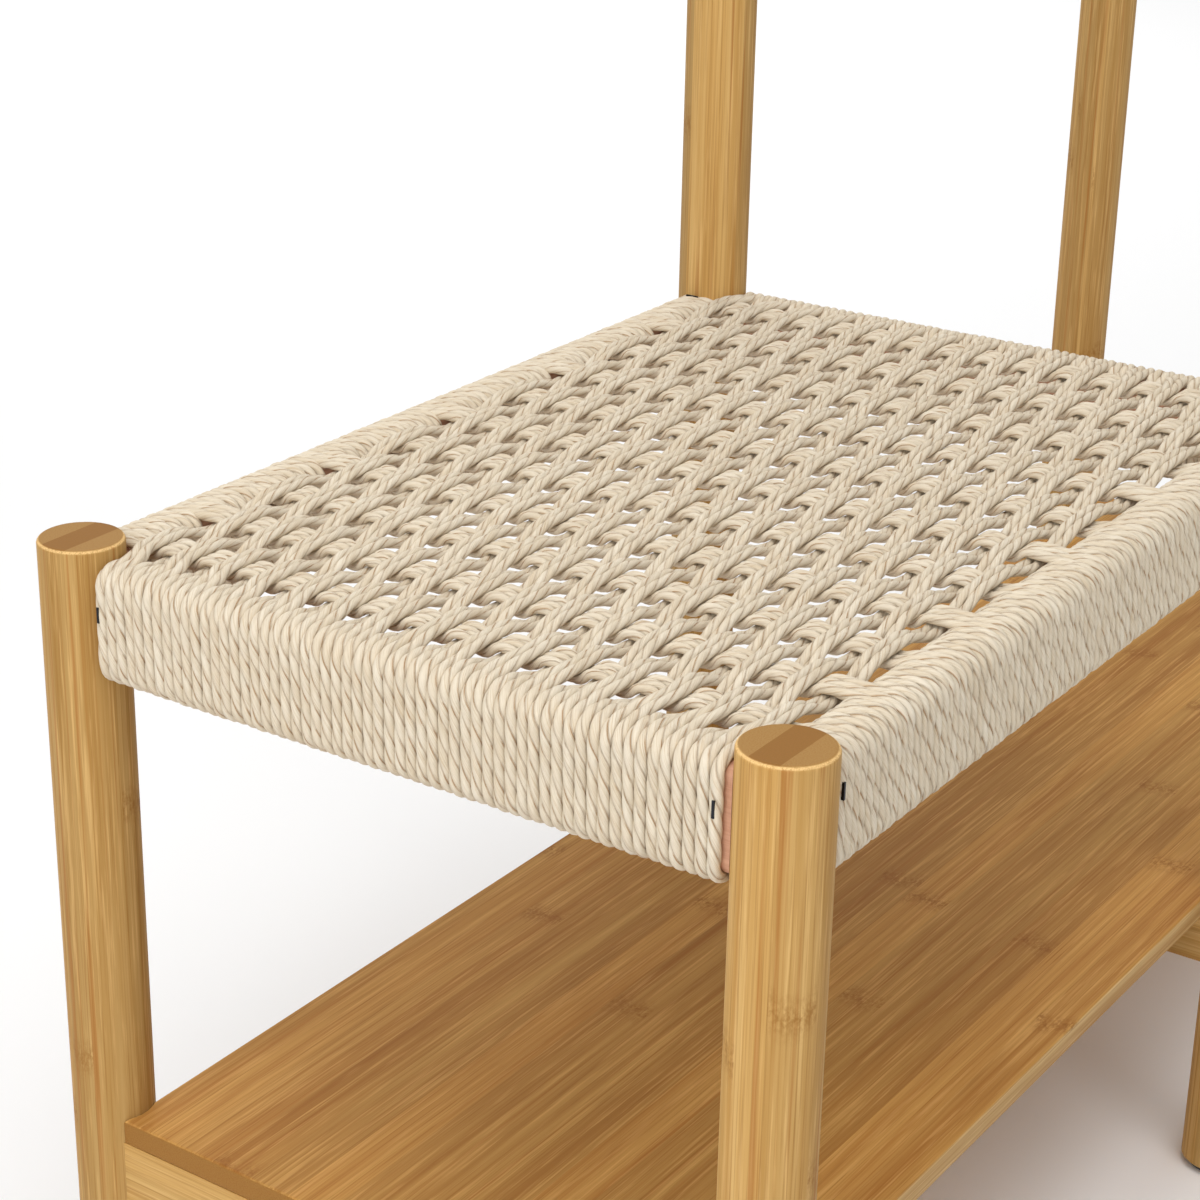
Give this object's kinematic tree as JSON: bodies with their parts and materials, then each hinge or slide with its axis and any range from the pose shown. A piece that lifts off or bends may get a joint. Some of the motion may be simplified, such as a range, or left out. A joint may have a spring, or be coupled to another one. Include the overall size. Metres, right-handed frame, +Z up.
{
  "type": "entryway bench",
  "caption": "Entryway bench: round bamboo posts, woven cord seat at one end, full-length shoe shelf, and a peg board between two tall posts over an open bay.",
  "frame": {"origin": "centre of the footprint, on the floor", "axes": "+X along the bench to the right seen from the front, front faces -Y, +Z up"},
  "size_m": [1.06, 0.385, 1.7],
  "materials": {
    "post_bamboo": "satin clear lacquer on laminated bamboo, grain along the post",
    "shelf_bamboo": "satin clear lacquer on bamboo strips, grain along the shelf",
    "frame_bamboo": "satin clear lacquer on bamboo",
    "rail_wood": "bare pinkish hardwood",
    "dowel_wood": "bare hardwood",
    "paper_cord": "natural twisted paper cord, matt",
    "black_steel": "black coated",
    "zinc_steel": "zinc plated",
    "bolt_steel": "black oxide",
    "glide_plastic": "moulded"
  },
  "bodies": {
    "root": {"back_left_post": "post_bamboo", "front_left_post": "post_bamboo", "back_middle_post": "post_bamboo", "front_middle_post": "post_bamboo", "back_right_post": "post_bamboo", "front_right_post": "post_bamboo", "back_left_glide": "glide_plastic", "front_left_glide": "glide_plastic", "back_middle_glide": "glide_plastic", "front_middle_glide": "glide_plastic", "back_right_glide": "glide_plastic", "front_right_glide": "glide_plastic", "left_seat_rail": "rail_wood", "right_seat_rail": "rail_wood", "front_seat_rail": "rail_wood", "back_seat_rail": "rail_wood", "left_rail_wrap": "paper_cord", "right_rail_wrap": "paper_cord", "front_rail_wrap": "paper_cord", "back_rail_wrap": "paper_cord", "seat_weave": "paper_cord", "cord_staples": "black_steel", "cord_nails": "zinc_steel", "shelf_screws": "zinc_steel", "shelf_rail_nuts": "zinc_steel", "coat_board_nuts": "zinc_steel", "shelf_rail_bolts": "bolt_steel", "coat_board_bolts": "bolt_steel", "seat_rail_dowels": "dowel_wood", "shelf_rail_dowels": "dowel_wood", "lower_shelf": "shelf_bamboo", "left_shelf_rail": "frame_bamboo", "middle_shelf_rail": "frame_bamboo", "right_shelf_rail": "frame_bamboo", "coat_board": "frame_bamboo", "top_rail": "frame_bamboo", "coat_peg_1": "frame_bamboo", "coat_peg_2": "frame_bamboo", "coat_peg_3": "frame_bamboo", "coat_peg_4": "frame_bamboo", "coat_peg_5": "frame_bamboo"}
  },
  "joints": []
}
